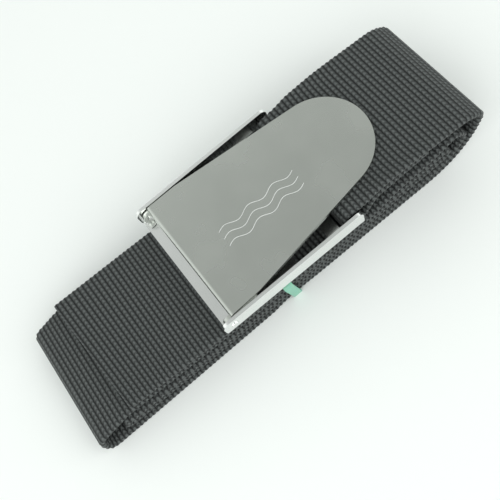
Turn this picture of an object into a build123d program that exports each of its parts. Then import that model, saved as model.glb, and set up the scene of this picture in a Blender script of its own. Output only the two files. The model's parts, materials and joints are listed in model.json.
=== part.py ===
from build123d import *

import os

# Dive weight belt: a folded nylon strap with a stainless cam-lever buckle.
# Millimetres, +Z up. The pack lies on Z = 0 with its length along X, and the lever's tip
# points to +X. Everything is laid out from the buckle and moved by PACK_SHIFT at the end,
# so that the origin is under the middle of the whole pack.
PACK_SHIFT = 6.87

# Strap
STRAP_WIDTH = 50.0
STRAP_THICK = 2.5
LAYERS = 5
LOOSE_PITCH = 3.625
PRESSED_PITCH = 3.075
LEFT_FOLD_X = -94.05
INNER_FOLD_X = -82.75
CUT_END_X = -78.0

# Buckle frame
FRAME_SHEET = 1.2
RAIL_OUTSIDE = 54.9
RAIL_INSIDE = RAIL_OUTSIDE - 2 * FRAME_SHEET
RAIL_FRONT_X = -34.0
RAIL_REAR_X = 26.5
PLATE_FRONT_X = -33.7
PLATE_REAR_X = 26.2
FRAME_BOTTOM = 18.1
FRAME_TOP = 27.4
FLOOR_HALF_WIDTH = 25.0

# Lever and its two hinge rivets
PIN_X = -29.8
PIN_Z = 22.9
PIN_RADIUS = 1.25
PIN_INNER_END = 24.0
PIN_HEAD_RADIUS = 1.5
PIN_HEAD_THICK = 0.35
FRAME_HOLE_GAP = 0.02
LEVER_HOLE_GAP = 0.08
LEVER_SHEET = 1.5
LEVER_PITCH_ANGLE = 2.5
LEVER_REACH = 79.8
LEVER_MIDDLE_Z = 3.75
BEND_X = 0.376
BEND_RADIUS = 0.95
CAM_EDGE_X = 4.06
CAM_EDGE_Z = -1.51
HINGE_HALF_WIDTH = 25.85
SHOULDER_HALF_WIDTH = 25.4
SHOULDER_X = 13.8
TIP_RADIUS = 18.5
CAM_HALF_WIDTH = 23.8
EAR_RADIUS = 2.9
TOOTH_PITCH = 4.0
TOOTH_GAPS = 11

# Rubber band
BAND_X = -7.2
BAND_WIDTH = 3.8
BAND_THICK = 0.5
BAND_HEIGHT = 17.75
BAND_INSIDE = 50.5


def layer_heights(pitch):
    """Middle heights of the flat layers, from the floor up."""
    return [STRAP_THICK / 2 + pitch * layer for layer in range(LAYERS)]


def strap_corners():
    """The strap's middle line in side view, from tail end to cut end: (x, z, bend radius)."""
    loose = layer_heights(LOOSE_PITCH)
    pressed = layer_heights(PRESSED_PITCH)
    floor = loose[0]
    # Tail under the top layer, down through the rear slot and back over the end bar.
    corners = [(57.0, 25.25, 0), (34.0, 24.07, 5), (28.0, 16.55, 4), (20.75, 16.55, 2), (20.75, 26.2, 3.5)]
    # Top layer and the big right-hand fold down to the floor.
    corners += [(60.0, 28.2, 60), (74.5, 26.8, 12), (80.95, 21.45, 3.5), (73.6, floor, 23.75)]
    # Bottom layer, lifted over the rubber band, and the left-hand fold.
    corners += [(2.5, floor, 20), (-2.5, 2.2, 20), (-12.0, 2.2, 20), (-17.0, floor, 20)]
    corners += [(LEFT_FOLD_X, floor, 4.1), (LEFT_FOLD_X, 9.6, 4.2)]
    # Fourth layer to the upper inner fold on the right.
    corners += [(-80.0, loose[3], 60), (2.0, loose[3], 60), (16.0, pressed[3], 60), (31.0, pressed[3], 30)]
    corners += [(45.0, 12.9, 30), (66.7, 13.4, 2.1), (66.7, 9.0, 2.1)]
    # Third layer to the inner fold on the left.
    corners += [(45.0, 8.8, 30), (31.0, pressed[2], 30), (16.0, pressed[2], 60), (2.0, loose[2], 60)]
    corners += [(INNER_FOLD_X, loose[2], 1.75), (INNER_FOLD_X, loose[1], 1.75)]
    # Second layer, out round the inner folds on the right.
    corners += [(2.0, loose[1], 60), (16.0, pressed[1], 60), (66.8, 4.0, 19.5)]
    corners += [(75.5, 14.3, 4.05), (69.2, 19.6, 4.05)]
    # Uppermost layer, pressed down under the end bar, to the cut end.
    corners += [(58.0, 16.6, 30), (43.0, 16.3, 30), (31.5, pressed[4], 15), (16.0, pressed[4], 60)]
    corners += [(2.0, loose[4], 60), (CUT_END_X, loose[4], 0)]
    return corners


def strap_path():
    """The strap's middle line, in the plane Y = 0."""
    corners = strap_corners()
    points = [(x, 0, z) for x, z, _ in corners]
    return FilletPolyline(*points, radius=[radius for _, _, radius in corners[1:-1]])


def sheet_along(path, width, thickness):
    """A strip of sheet, bent along a path in the XZ plane."""
    start = Plane(origin=path @ 0, x_dir=(0, 1, 0), z_dir=path % 0)
    return sweep(start * Rectangle(width, thickness), path=path)


def make_strap():
    return sheet_along(strap_path(), STRAP_WIDTH, STRAP_THICK)


def channel_section():
    """The frame's bent sheet, seen along X: a floor and two upright rails."""
    height = FRAME_TOP - FRAME_BOTTOM
    outside = Rectangle(RAIL_OUTSIDE, height, align=(Align.CENTER, Align.MIN))
    outside = fillet(outside.vertices().sort_by(Axis.Y)[:2], 1.8)
    inside = Pos(0, FRAME_SHEET) * Rectangle(RAIL_INSIDE, height, align=(Align.CENTER, Align.MIN))
    inside = fillet(inside.vertices().sort_by(Axis.Y)[:2], 0.6)
    return outside - inside


def rail_side():
    """A rail seen from the side, with its rounded corners."""
    length = RAIL_REAR_X - RAIL_FRONT_X
    side = Rectangle(length, FRAME_TOP - FRAME_BOTTOM)
    side = fillet(side.vertices().sort_by(Axis.X)[:2], 3.0)
    rear_top = side.vertices().group_by(Axis.X)[-1].sort_by(Axis.Y)[-1]
    side = fillet(rear_top, 2.5)
    return Pos((RAIL_FRONT_X + RAIL_REAR_X) / 2, (FRAME_BOTTOM + FRAME_TOP) / 2) * side


def floor_slot(front, rear, half_length, front_corner, rear_corner):
    """A slot through the floor plate, with its own corner radius at each end bar."""
    slot = Pos((front + rear) / 2, 0) * Rectangle(rear - front, 2 * half_length)
    slot = fillet(slot.vertices().group_by(Axis.X)[0], front_corner)
    slot = fillet(slot.vertices().group_by(Axis.X)[-1], rear_corner)
    return extrude(Plane.XY.offset(FRAME_BOTTOM - 1) * slot, FRAME_SHEET + 2)


def make_frame():
    """Bent-sheet channel: slotted floor plate between two rounded side rails."""
    section = Plane(origin=(RAIL_FRONT_X, 0, 0), x_dir=(0, 1, 0), z_dir=(1, 0, 0))
    section = section * (Pos(0, FRAME_BOTTOM) * channel_section())
    channel = extrude(section, RAIL_REAR_X - RAIL_FRONT_X)

    plate_middle = (PLATE_FRONT_X + PLATE_REAR_X) / 2
    plate_length = PLATE_REAR_X - PLATE_FRONT_X
    floor_zone = Pos(plate_middle, 0, FRAME_BOTTOM) * Box(plate_length, 2 * FLOOR_HALF_WIDTH, 20)
    middle_zone = Box(200, 2 * FLOOR_HALF_WIDTH, 200)
    rails = (channel & extrude(Plane.XZ * rail_side(), RAIL_OUTSIDE, both=True)) - middle_zone
    frame = rails + (channel & floor_zone)

    # The wide clamping slot, then the narrow slot for the looped end of the strap.
    frame -= floor_slot(-0.7, 13.5, 25.0, 3.5, 3.5)
    frame -= floor_slot(18.5, 23.0, 25.9, 2.6, 0.6)
    for side in (-1, 1):
        frame -= Pos(-31.25, side * 22.5, FRAME_BOTTOM) * Box(2.3, 0.4, 4)
    hole = Cylinder(PIN_RADIUS + FRAME_HOLE_GAP, RAIL_OUTSIDE + 2, rotation=(90, 0, 0))
    return frame - Pos(PIN_X, 0, PIN_Z) * hole


def lever_outline():
    """Plan of the lever from its pin: nearly parallel at the hinge, tapering to a round tip."""
    front = Line((-1.0, -HINGE_HALF_WIDTH), (-1.0, HINGE_HALF_WIDTH))
    shoulder = Line((SHOULDER_X, -SHOULDER_HALF_WIDTH), (SHOULDER_X, SHOULDER_HALF_WIDTH))
    tip = Pos(LEVER_REACH - TIP_RADIUS, 0) * Circle(TIP_RADIUS)
    return make_hull([*front.edges(), *shoulder.edges(), *tip.edges()])


def tooth_gaps(edge, wall_direction):
    """V notches across the cam lip's lower edge."""
    normal = (-wall_direction.Z, 0, wall_direction.X)
    wedge = make_face(Polyline((-0.9, 0.1), (0.9, 0.1), (0, -1.0), close=True))
    plane = Plane(origin=edge, x_dir=(0, 1, 0), z_dir=normal)
    gap = extrude(plane * wedge, LEVER_SHEET, both=True)
    first = -TOOTH_PITCH * (TOOTH_GAPS - 1) / 2
    return [Pos(0, first + TOOTH_PITCH * index, 0) * gap for index in range(TOOTH_GAPS)]


def make_lever():
    """Bent-sheet lever: flat plate, front bend, toothed cam lip and two ears on the pin."""
    tip = (LEVER_REACH, 0, LEVER_MIDDLE_Z)
    front_bend = (BEND_X, 0, LEVER_MIDDLE_Z)
    cam_edge = (CAM_EDGE_X, 0, CAM_EDGE_Z)
    path = FilletPolyline(tip, front_bend, cam_edge, radius=BEND_RADIUS)
    lever = sheet_along(path, 2 * HINGE_HALF_WIDTH, LEVER_SHEET)
    lever &= extrude(Plane.XY * lever_outline(), 20, both=True)

    # The cam lip is narrower than the plate, which leaves room for the ears.
    plate_bottom = LEVER_MIDDLE_Z - LEVER_SHEET / 2
    for side in (-1, 1):
        beside_lip = Box(12, 10, 10, align=(Align.CENTER, Align.MIN, Align.MAX))
        beside_lip = Rot(0, 0, 0 if side > 0 else 180) * Pos(0, CAM_HALF_WIDTH, 2.0) * beside_lip
        lever -= beside_lip
    lever -= tooth_gaps(path @ 1, path % 1)

    foot = Line((2.2, plate_bottom + 0.2), (12, plate_bottom + 0.2))
    ear = make_hull([*Circle(EAR_RADIUS).edges(), *foot.edges()])
    ear -= Circle(PIN_RADIUS + LEVER_HOLE_GAP)
    ear_middle = HINGE_HALF_WIDTH - LEVER_SHEET / 2
    for side in (-1, 1):
        lever += Pos(0, side * ear_middle, 0) * extrude(Plane.XZ * ear, LEVER_SHEET / 2, both=True)
    return Pos(PIN_X, 0, PIN_Z) * Rot(0, -LEVER_PITCH_ANGLE, 0) * lever


def make_pins():
    """Two short hinge rivets, one through each rail and ear, with a low head outside the rail."""
    reach = RAIL_OUTSIDE / 2
    shank = Cylinder(PIN_RADIUS, reach - PIN_INNER_END, align=(Align.CENTER, Align.CENTER, Align.MIN))
    head = Cylinder(PIN_HEAD_RADIUS, PIN_HEAD_THICK, align=(Align.CENTER, Align.CENTER, Align.MIN))
    head = fillet(head.edges().filter_by(GeomType.CIRCLE).sort_by(Axis.Z)[-1], 0.15)
    rivet = Pos(0, 0, PIN_INNER_END) * shank + Pos(0, 0, reach) * head
    pair = Rot(-90, 0, 0) * rivet + Rot(90, 0, 0) * rivet
    return Pos(PIN_X, 0, PIN_Z) * pair


def make_band():
    """Flat rubber band round the folded strap."""
    outside = Rectangle(BAND_INSIDE + 2 * BAND_THICK, BAND_HEIGHT, align=(Align.CENTER, Align.MIN))
    inner_height = BAND_HEIGHT - 2 * BAND_THICK
    inside = Pos(0, BAND_THICK) * Rectangle(BAND_INSIDE, inner_height, align=(Align.CENTER, Align.MIN))
    ring = fillet(outside.vertices(), 1.0) - fillet(inside.vertices(), 0.5)
    section = Plane(origin=(BAND_X, 0, 0), x_dir=(0, 1, 0), z_dir=(1, 0, 0))
    return extrude(section * ring, BAND_WIDTH / 2, both=True)


def main():
    os.makedirs("parts", exist_ok=True)
    path = strap_path()
    print("strap length along its middle line:", round(path.length, 1), "mm")
    print("strap section times length:", round(path.length * STRAP_WIDTH * STRAP_THICK), "mm3")
    makers = {
        "webbing_strap": make_strap,
        "buckle_frame": make_frame,
        "cam_lever": make_lever,
        "hinge_pins": make_pins,
        "retaining_band": make_band,
    }
    for node, maker in makers.items():
        shape = Pos(PACK_SHIFT, 0, 0) * maker()
        export_step(shape, f"parts/{node}.step")


main()
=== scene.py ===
import json
import math

import bpy
import numpy as np
from mathutils import Matrix, Vector


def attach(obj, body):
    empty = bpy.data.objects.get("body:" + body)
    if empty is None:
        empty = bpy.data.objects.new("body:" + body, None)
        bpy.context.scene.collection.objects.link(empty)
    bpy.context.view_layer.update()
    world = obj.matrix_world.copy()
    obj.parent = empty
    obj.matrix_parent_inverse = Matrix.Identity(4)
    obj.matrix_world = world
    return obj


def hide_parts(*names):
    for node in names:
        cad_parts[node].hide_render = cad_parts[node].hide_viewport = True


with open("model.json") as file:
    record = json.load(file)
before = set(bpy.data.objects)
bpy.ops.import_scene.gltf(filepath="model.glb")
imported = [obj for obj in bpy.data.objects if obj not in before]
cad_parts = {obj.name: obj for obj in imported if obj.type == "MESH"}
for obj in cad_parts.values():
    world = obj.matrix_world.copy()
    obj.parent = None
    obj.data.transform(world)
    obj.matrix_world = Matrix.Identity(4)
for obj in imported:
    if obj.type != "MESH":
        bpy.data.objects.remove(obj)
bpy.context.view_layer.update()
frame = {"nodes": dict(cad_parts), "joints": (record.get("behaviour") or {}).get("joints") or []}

MM = 0.001

# The hinge's place from the buckle's datum, as in the CAD model.
PIN_X_MM = -29.8
PIN_Z_MM = 22.9
HINGE = frame["joints"][0]
BUCKLE_X = HINGE["pos_m"][0] - PIN_X_MM * MM

# Webbing
STRAP_THICK = 2.5
RIB_PITCH = 1.9
ROWS_PER_RIB = 4
RIB_DEPTH = 0.38
BEAD_PITCH = 1.7
LEFT_FOLD_SKEW = 0.02
CUT_END_SKEW = -0.055
EDGE_CURL = 1.6

# Lever plate, as in the CAD model
LEVER_PITCH_ANGLE = math.radians(2.5)
LEVER_TOP = 4.5

# The surround's brightness: even up to LEVEL_UP_TO, then falling towards straight overhead.
WALL_LIGHT = 1.12
OVERHEAD_LIGHT = 0.46
LEVEL_UP_TO = 0.5

# Soft lamps: name, place in metres, side in metres, power in watts
LAMPS = (("key", (-0.7, -0.5, 0.7), 0.9, 4.0), ("fill", (0.7, -0.5, 0.7), 0.9, 3.2))

# Camera, from the buckle's datum
CAMERA_PLACE_MM = (-14.31, -95.31, 237.96)
CAMERA_FORWARD = (0.0183, 0.368, -0.9297)
CAMERA_UP = (0.6378, 0.7118, 0.2943)


def layer_heights(pitch):
    """Middle heights of the flat layers, from the floor up."""
    return [STRAP_THICK / 2 + pitch * layer for layer in range(5)]


def strap_corners():
    """The strap's middle line, as in the CAD model: (x, z, bend radius, sideways offset)."""
    loose = layer_heights(3.625)
    pressed = layer_heights(3.075)
    floor = loose[0]
    # Tail, rear slot and top layer.
    corners = [(57.0, 25.25, 0, -0.3), (34.0, 24.07, 5, -0.3), (28.0, 16.55, 4, -0.3)]
    corners += [(20.75, 16.55, 2, -0.3), (20.75, 26.2, 3.5, -0.3), (60.0, 28.2, 60, -0.9)]
    corners += [(74.5, 26.8, 12, -1.0), (80.95, 21.45, 3.5, -1.0), (73.6, floor, 23.75, -1.2)]
    # Bottom layer and left-hand fold.
    corners += [(2.5, floor, 20, -1.0), (-2.5, 2.2, 20, -1.1), (-12.0, 2.2, 20, -1.3)]
    corners += [(-17.0, floor, 20, -1.6), (-94.05, floor, 4.1, -2.6), (-94.05, 9.6, 4.2, -0.8)]
    # Inner layers.
    corners += [(-80.0, loose[3], 60, 0.2), (2.0, loose[3], 60, -1.9), (16.0, pressed[3], 60, -1.4)]
    corners += [(31.0, pressed[3], 30, -1.2), (45.0, 12.9, 30, -1.0), (66.7, 13.4, 2.1, -0.6)]
    corners += [(66.7, 9.0, 2.1, -0.6), (45.0, 8.8, 30, -0.8), (31.0, pressed[2], 30, -1.0)]
    corners += [(16.0, pressed[2], 60, -1.3), (2.0, loose[2], 60, -1.6), (-82.75, loose[2], 1.75, -1.4)]
    corners += [(-82.75, loose[1], 1.75, -1.4), (2.0, loose[1], 60, -1.3), (16.0, pressed[1], 60, -1.2)]
    # Right-hand inner fold and uppermost layer.
    corners += [(66.8, 4.0, 19.5, -1.0), (75.5, 14.3, 4.05, -0.5), (69.2, 19.6, 4.05, -0.5)]
    corners += [(58.0, 16.6, 30, -0.7), (43.0, 16.3, 30, -0.9), (31.5, pressed[4], 15, -1.2)]
    corners += [(16.0, pressed[4], 60, -1.6), (2.0, loose[4], 60, -2.4), (-78.0, loose[4], 0, 0.3)]
    return corners


def corner_arc(before, corner, after, radius):
    """Points of the tangent arc that rounds a corner."""
    to_before = (before - corner) / np.linalg.norm(before - corner)
    to_after = (after - corner) / np.linalg.norm(after - corner)
    half = math.acos(float(np.clip(to_before @ to_after, -1, 1))) / 2
    middle = (to_before + to_after) / np.linalg.norm(to_before + to_after)
    centre = corner + middle * radius / math.sin(half)
    first = corner + to_before * radius / math.tan(half) - centre
    last = corner + to_after * radius / math.tan(half) - centre
    start = math.atan2(first[1], first[0])
    turn = (math.atan2(last[1], last[0]) - start + math.pi) % (2 * math.pi) - math.pi
    angles = start + turn * np.linspace(0, 1, max(6, int(abs(turn) * radius / 0.15)))
    return centre + radius * np.stack([np.cos(angles), np.sin(angles)], axis=1)


def strap_line():
    """Even steps along the strap: position, direction, distance, sideways offset, and which
    steps are in the top layer and in the last one, with the cut end."""
    corners = strap_corners()
    places = [np.array(c[:2]) for c in corners]
    stretches = [places[0][None]]
    for index in range(1, len(corners) - 1):
        stretches.append(corner_arc(*places[index - 1:index + 2], corners[index][2]))
    stretches.append(places[-1][None])
    counts = np.cumsum([0] + [len(stretch) for stretch in stretches])
    line = np.concatenate(stretches)
    distance = np.concatenate([[0], np.cumsum(np.linalg.norm(np.diff(line, axis=0), axis=1))])
    at_corner = [distance[(a + b - 1) // 2] for a, b in zip(counts[:-1], counts[1:])]
    steps = int(distance[-1] / (RIB_PITCH / ROWS_PER_RIB))
    even = np.linspace(0, distance[-1], steps + 1)
    place = np.stack([np.interp(even, distance, line[:, k]) for k in (0, 1)], axis=1)
    direction = np.gradient(place, axis=0)
    direction /= np.linalg.norm(direction, axis=1)[:, None]
    sideways = np.interp(even, at_corner, [c[3] for c in corners])
    on_top = (even > at_corner[4]) & (even < at_corner[6])
    on_last = even > at_corner[-2]
    return place, direction, even, sideways, on_top, on_last


def smooth(value):
    value = np.clip(value, 0, 1)
    return value * value * (3 - 2 * value)


def make_strap():
    """The whole folded strap as one closed mesh, with a raised rib for each weft thread."""
    place, direction, along, sideways, on_top, on_last = strap_line()
    across = np.concatenate([[-25, -24.6], np.linspace(-24, 24, 20), [24.6, 25]])
    edge = np.clip(np.abs(across) - 24, 0, 1)
    half_thick = STRAP_THICK / 2 * np.sqrt(1 - 0.75 * edge ** 2)
    ring_y = np.concatenate([across, across[::-1]])
    ring_h = np.concatenate([half_thick, -half_thick[::-1]])

    valley = 0.5 - 0.5 * np.cos(2 * math.pi * along / RIB_PITCH)
    depth = RIB_DEPTH * valley[:, None]
    height = np.sign(ring_h) * (np.abs(ring_h) - depth)
    y = ring_y * (1 - 0.006 * valley[:, None])
    normal = np.stack([-direction[:, 1], direction[:, 0]], axis=1)
    x = place[:, :1] + normal[:, :1] * height
    z = place[:, 1:] + normal[:, 1:] * height

    # The top layer's edges curl up beyond the lever, and the left-hand fold lies askew.
    curl = smooth((place[:, 0] - 27) / 9) * smooth((64 - place[:, 0]) / 20) * on_top
    z = z + EDGE_CURL * curl[:, None] * smooth((np.abs(ring_y) - 19.5) / 5.5)
    skew = np.where(on_last, CUT_END_SKEW, LEFT_FOLD_SKEW)[:, None]
    x = x + skew * y * smooth((-50 - place[:, :1]) / 30)
    y = y + sideways[:, None]

    rows, ring = x.shape
    points = np.stack([x * MM + BUCKLE_X, y * MM, z * MM], axis=2).reshape(-1, 3)
    faces = []
    for row in range(rows - 1):
        for k in range(ring):
            a = row * ring + k
            b = row * ring + (k + 1) % ring
            faces.append((a, a + ring, b + ring, b))
    for row, flip in ((0, False), (rows - 1, True)):
        for k in range(ring // 2 - 1):
            quad = [row * ring + k, row * ring + k + 1, row * ring + ring - 2 - k, row * ring + ring - 1 - k]
            faces.append(quad[::-1] if flip else quad)
    mesh = bpy.data.meshes.new("folded_webbing")
    mesh.from_pydata(points.tolist(), [], faces)
    weave = mesh.attributes.new("weave", "FLOAT_VECTOR", "POINT")
    threads = np.zeros((rows, ring, 3))
    threads[..., 0] = ring_y
    threads[..., 1] = along[:, None]
    weave.data.foreach_set("vector", threads.ravel())
    mesh.polygons.foreach_set("use_smooth", [True] * len(mesh.polygons))
    mesh.validate()
    strap = link("folded_webbing", mesh)
    return strap, along[-1] * MM


def link(name, mesh):
    piece = bpy.data.objects.new(name, mesh)
    bpy.context.scene.collection.objects.link(piece)
    return piece


def make_band():
    """Rubber band: follows the leaning side of the stack, and slants back towards the top."""
    low_y, high_y, half_inner, thick = -1.15, -2.1, 25.45, 0.5
    height, width, corner_steps = 17.7, 3.6, 6
    outline = []
    for grow, radius in ((thick, 1.1), (0.0, 0.6)):
        loop = []
        bottom, top = thick - grow, height - thick + grow
        for index, (sy, z) in enumerate(((1, top), (-1, top), (-1, bottom), (1, bottom))):
            middle = high_y if z == top else low_y
            cy = middle + sy * (half_inner + grow - radius)
            cz = z - radius if z == top else z + radius
            for k in range(corner_steps + 1):
                angle = math.pi / 2 * (index + k / corner_steps)
                loop.append((cy + radius * math.cos(angle), cz + radius * math.sin(angle)))
        outline.append(loop)
    count = len(outline[0])
    points, faces = [], []
    for side in (-0.5, 0.5):
        for loop in outline:
            for y, z in loop:
                slant = -6.3 - 1.8 * z / height
                points.append(((slant + side * width) * MM + BUCKLE_X, y * MM, z * MM))
    near_out, near_in, far_out, far_in = (count * k for k in range(4))
    for k in range(count):
        n = (k + 1) % count
        faces.append((near_out + k, near_out + n, far_out + n, far_out + k))
        faces.append((near_in + k, far_in + k, far_in + n, near_in + n))
        faces.append((near_out + k, near_in + k, near_in + n, near_out + n))
        faces.append((far_out + k, far_out + n, far_in + n, far_in + k))
    mesh = bpy.data.meshes.new("rubber_band")
    mesh.from_pydata(points, [], faces)
    return link("rubber_band", mesh)


def make_wave_lines():
    """Three fine etched waves on the lever plate, a plain decoration with no lettering."""
    length, line_width, lift, steps = 33.0, 0.24, 0.02, 90
    centre_x, centre_y = 32.0, -3.2
    points, faces = [], []
    for row in (-1, 0, 1):
        base = len(points)
        for k in range(steps + 1):
            t = k / steps
            x = centre_x + length * (t - 0.5)
            y = centre_y + 3.2 * row + 0.9 * math.sin(6 * math.pi * t)
            for edge in (-0.5, 0.5):
                points.append((x, y + edge * line_width, LEVER_TOP + lift))
        for k in range(steps):
            a = base + 2 * k
            faces.append((a, a + 2, a + 3, a + 1))
    turn = Matrix.Rotation(-LEVER_PITCH_ANGLE, 3, "Y")
    pin = Vector((BUCKLE_X + PIN_X_MM * MM, 0, PIN_Z_MM * MM))
    mesh = bpy.data.meshes.new("lever_wave_lines")
    mesh.from_pydata([turn @ Vector(p) * MM + pin for p in points], [], faces)
    return link("lever_wave_lines", mesh)


class Nodes:
    """A material's node tree, with short calls to add and join nodes."""

    def __init__(self, name):
        self.material = bpy.data.materials.new(name)
        self.material.use_nodes = True
        self.tree = self.material.node_tree
        self.shader = self.tree.nodes["Principled BSDF"]

    def add(self, kind, **inputs):
        node = self.tree.nodes.new(kind)
        for key, value in inputs.items():
            self.set(node.inputs[key.replace("_", " ")], value)
        return node

    def set(self, socket, value):
        if isinstance(value, bpy.types.NodeSocket):
            self.tree.links.new(value, socket)
        else:
            socket.default_value = value

    def math(self, operation, *values):
        node = self.tree.nodes.new("ShaderNodeMath")
        node.operation = operation
        for socket, value in zip(node.inputs, values):
            self.set(socket, value)
        return node.outputs[0]

    def ramp(self, factor, dark, light):
        node = self.add("ShaderNodeValToRGB", Fac=factor)
        node.color_ramp.elements[0].color = (*dark, 1)
        node.color_ramp.elements[1].color = (*light, 1)
        return node.outputs["Color"]

    def spread(self, factor, low, high):
        node = self.add("ShaderNodeMapRange", Value=factor, To_Min=low, To_Max=high)
        return node.outputs["Result"]

    def bump(self, height, strength, distance):
        node = self.add("ShaderNodeBump", Height=height, Strength=strength, Distance=distance)
        self.set(self.shader.inputs["Normal"], node.outputs["Normal"])


def webbing_material():
    """Charcoal nylon: beads in brick order along each rib, with a little fibre variation. The colour is
    painted shade in the gaps between ribs and beads and painted highlight on the bead crests.
    """
    m = Nodes("charcoal_webbing")
    weave = m.tree.nodes.new("ShaderNodeAttribute")
    weave.attribute_name = "weave"
    split = m.add("ShaderNodeSeparateXYZ", Vector=weave.outputs["Vector"])
    rib = m.math("FLOOR", m.math("DIVIDE", split.outputs["Y"], RIB_PITCH))
    across = m.math("ADD", m.math("DIVIDE", split.outputs["X"], BEAD_PITCH), m.math("MULTIPLY", rib, 0.5))
    turns = m.math("MULTIPLY", split.outputs["Y"], 2 * math.pi / RIB_PITCH)
    bow = m.math("MULTIPLY", m.math("COSINE", turns), 0.22)
    bead = m.math("ABSOLUTE", m.math("SINE", m.math("MULTIPLY", m.math("ADD", across, bow), math.pi)))
    ridge = m.math("ABSOLUTE", m.math("SINE", m.math("MULTIPLY", turns, 0.5)))
    thread = m.math("MULTIPLY_ADD", m.math("POWER", bead, 0.8), 0.65, 0.35)
    weave_relief_and_painted_shade = m.math("MULTIPLY", thread, m.math("POWER", ridge, 1.4))
    fibres = m.add("ShaderNodeTexNoise", Vector=weave.outputs["Vector"], Scale=2.4, Detail=5.0)
    fibre_and_painted_shade_tone = m.math("MULTIPLY", weave_relief_and_painted_shade, m.spread(fibres.outputs["Fac"], 0.6, 1.3))
    # Base colour: near black in the weave's gaps as painted shade, lighter on the bead crests as painted
    # highlight, varied by the fibre noise.
    m.set(m.shader.inputs["Base Color"], m.ramp(fibre_and_painted_shade_tone, (0.003, 0.004, 0.004), (0.118, 0.130, 0.128)))
    m.set(m.shader.inputs["Roughness"], m.spread(fibres.outputs["Fac"], 0.5, 0.72))
    m.shader.inputs["Sheen Weight"].default_value = 0.04
    m.shader.inputs["Specular IOR Level"].default_value = 0.3
    m.bump(weave_relief_and_painted_shade, 1.0, 0.0006)
    return m.material


def steel_material(name, dark, light, rough_low, rough_high, grain):
    """Sheet steel: drawn grain along X, fine scratches, and uneven polish."""
    m = Nodes(name)
    place = m.tree.nodes.new("ShaderNodeTexCoord").outputs["Object"]
    drawn = m.add("ShaderNodeMapping", Vector=place, Scale=(40, 900, 900))
    streaks = m.add("ShaderNodeTexNoise", Vector=drawn.outputs["Vector"], Scale=1.0, Detail=1.0)
    polish = m.add("ShaderNodeTexNoise", Vector=place, Scale=55.0, Detail=3.0)
    m.shader.inputs["Metallic"].default_value = 1.0
    m.set(m.shader.inputs["Base Color"], m.ramp(polish.outputs["Fac"], dark, light))
    m.set(m.shader.inputs["Roughness"], m.spread(polish.outputs["Fac"], rough_low, rough_high))
    m.bump(streaks.outputs["Fac"], grain, 0.00002)
    return m.material


def band_material():
    """Pale green rubber, slightly translucent and dusty."""
    m = Nodes("mint_rubber")
    place = m.tree.nodes.new("ShaderNodeTexCoord").outputs["Object"]
    dust = m.add("ShaderNodeTexNoise", Vector=place, Scale=900.0, Detail=4.0)
    m.set(m.shader.inputs["Base Color"], m.ramp(dust.outputs["Fac"], (0.17, 0.42, 0.31), (0.26, 0.53, 0.41)))
    m.set(m.shader.inputs["Roughness"], m.spread(dust.outputs["Fac"], 0.4, 0.6))
    m.shader.inputs["Subsurface Weight"].default_value = 0.25
    m.shader.inputs["Subsurface Scale"].default_value = 0.001
    m.bump(dust.outputs["Fac"], 0.2, 0.0001)
    return m.material


def floor_material():
    m = Nodes("pale_floor")
    m.shader.inputs["Base Color"].default_value = (0.86, 0.885, 0.87, 1)
    m.shader.inputs["Roughness"].default_value = 0.7
    return m.material


def paint(piece, material):
    piece.data.materials.clear()
    piece.data.materials.append(material)


def soften_edges(node, width):
    """Breaks a stamped piece's sharp edges, so that they catch the light."""
    bevel = frame["nodes"][node].modifiers.new("broken_edges", "BEVEL")
    bevel.width = width * MM
    bevel.segments = 2
    bevel.limit_method = "ANGLE"
    bevel.angle_limit = math.radians(50)


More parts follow.
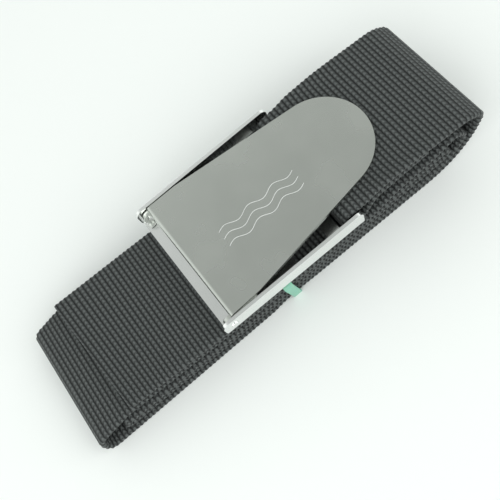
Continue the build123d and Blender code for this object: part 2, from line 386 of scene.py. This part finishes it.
def make_stage():
    """Pale floor and a soft surround: bright walls, dimmer overhead, so level steel reads mid grey."""
    half = 6.0
    mesh = bpy.data.meshes.new("floor")
    corners = [(-half, -half, 0), (half, -half, 0), (half, half, 0), (-half, half, 0)]
    mesh.from_pydata(corners, [], [(0, 1, 2, 3)])
    floor = link("floor", mesh)
    paint(floor, floor_material())
    world = bpy.data.worlds.new("studio")
    world.use_nodes = True
    nodes = world.node_tree.nodes
    links = world.node_tree.links
    background = nodes["Background"]
    background.inputs["Color"].default_value = (0.965, 1.0, 0.975, 1)
    split = nodes.new("ShaderNodeSeparateXYZ")
    fade = nodes.new("ShaderNodeMapRange")
    fade.inputs["From Min"].default_value = LEVEL_UP_TO
    fade.inputs["From Max"].default_value = 1.0
    fade.inputs["To Min"].default_value = WALL_LIGHT
    fade.inputs["To Max"].default_value = OVERHEAD_LIGHT
    links.new(nodes.new("ShaderNodeTexCoord").outputs["Generated"], split.inputs["Vector"])
    links.new(split.outputs["Z"], fade.inputs["Value"])
    links.new(fade.outputs["Result"], background.inputs["Strength"])
    bpy.context.scene.world = world
    for name, place, size, power in LAMPS:
        light = bpy.data.lights.new(name, "AREA")
        light.size = size
        light.energy = power
        lamp = bpy.data.objects.new(name, light)
        lamp.location = place
        lamp.rotation_euler = (-Vector(place)).to_track_quat("-Z", "Y").to_euler()
        bpy.context.scene.collection.objects.link(lamp)


def make_camera():
    """Looks down on the pack from the -Y side, rolled so that the pack lies on a diagonal."""
    forward = Vector(CAMERA_FORWARD).normalized()
    up = Vector(CAMERA_UP)
    right = forward.cross(up).normalized()
    up = right.cross(forward)
    camera = bpy.data.objects.new("camera", bpy.data.cameras.new("camera"))
    camera.data.lens = 48.19
    camera.data.sensor_width = 36.0
    camera.data.clip_start = 0.01
    turn = Matrix((right, up, -forward)).transposed().to_4x4()
    place = Vector(CAMERA_PLACE_MM) * MM + Vector((BUCKLE_X, 0, 0))
    camera.matrix_world = Matrix.Translation(place) @ turn
    bpy.context.scene.collection.objects.link(camera)
    bpy.context.scene.camera = camera


bpy.context.scene.view_settings.view_transform = "Standard"
make_camera()
make_stage()

strap, strap_length = make_strap()
paint(strap, webbing_material())
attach(strap, "belt")
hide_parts("webbing_strap")

band = make_band()
paint(band, band_material())
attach(band, "belt")
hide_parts("retaining_band")

waves = make_wave_lines()
paint(waves, steel_material("etched_line", (0.80, 0.82, 0.80), (0.92, 0.93, 0.92), 0.6, 0.75, 0.2))
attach(waves, "lever")

satin_steel = steel_material("satin_lever", (0.50, 0.525, 0.49), (0.60, 0.62, 0.585), 0.22, 0.32, 0.08)
paint(frame["nodes"]["cam_lever"], satin_steel)
bright_steel = steel_material("polished_frame", (0.84, 0.86, 0.84), (0.93, 0.94, 0.93), 0.12, 0.26, 0.1)
for node in ("buckle_frame", "hinge_pins"):
    paint(frame["nodes"][node], bright_steel)

soften_edges("cam_lever", 0.2)
soften_edges("buckle_frame", 0.15)
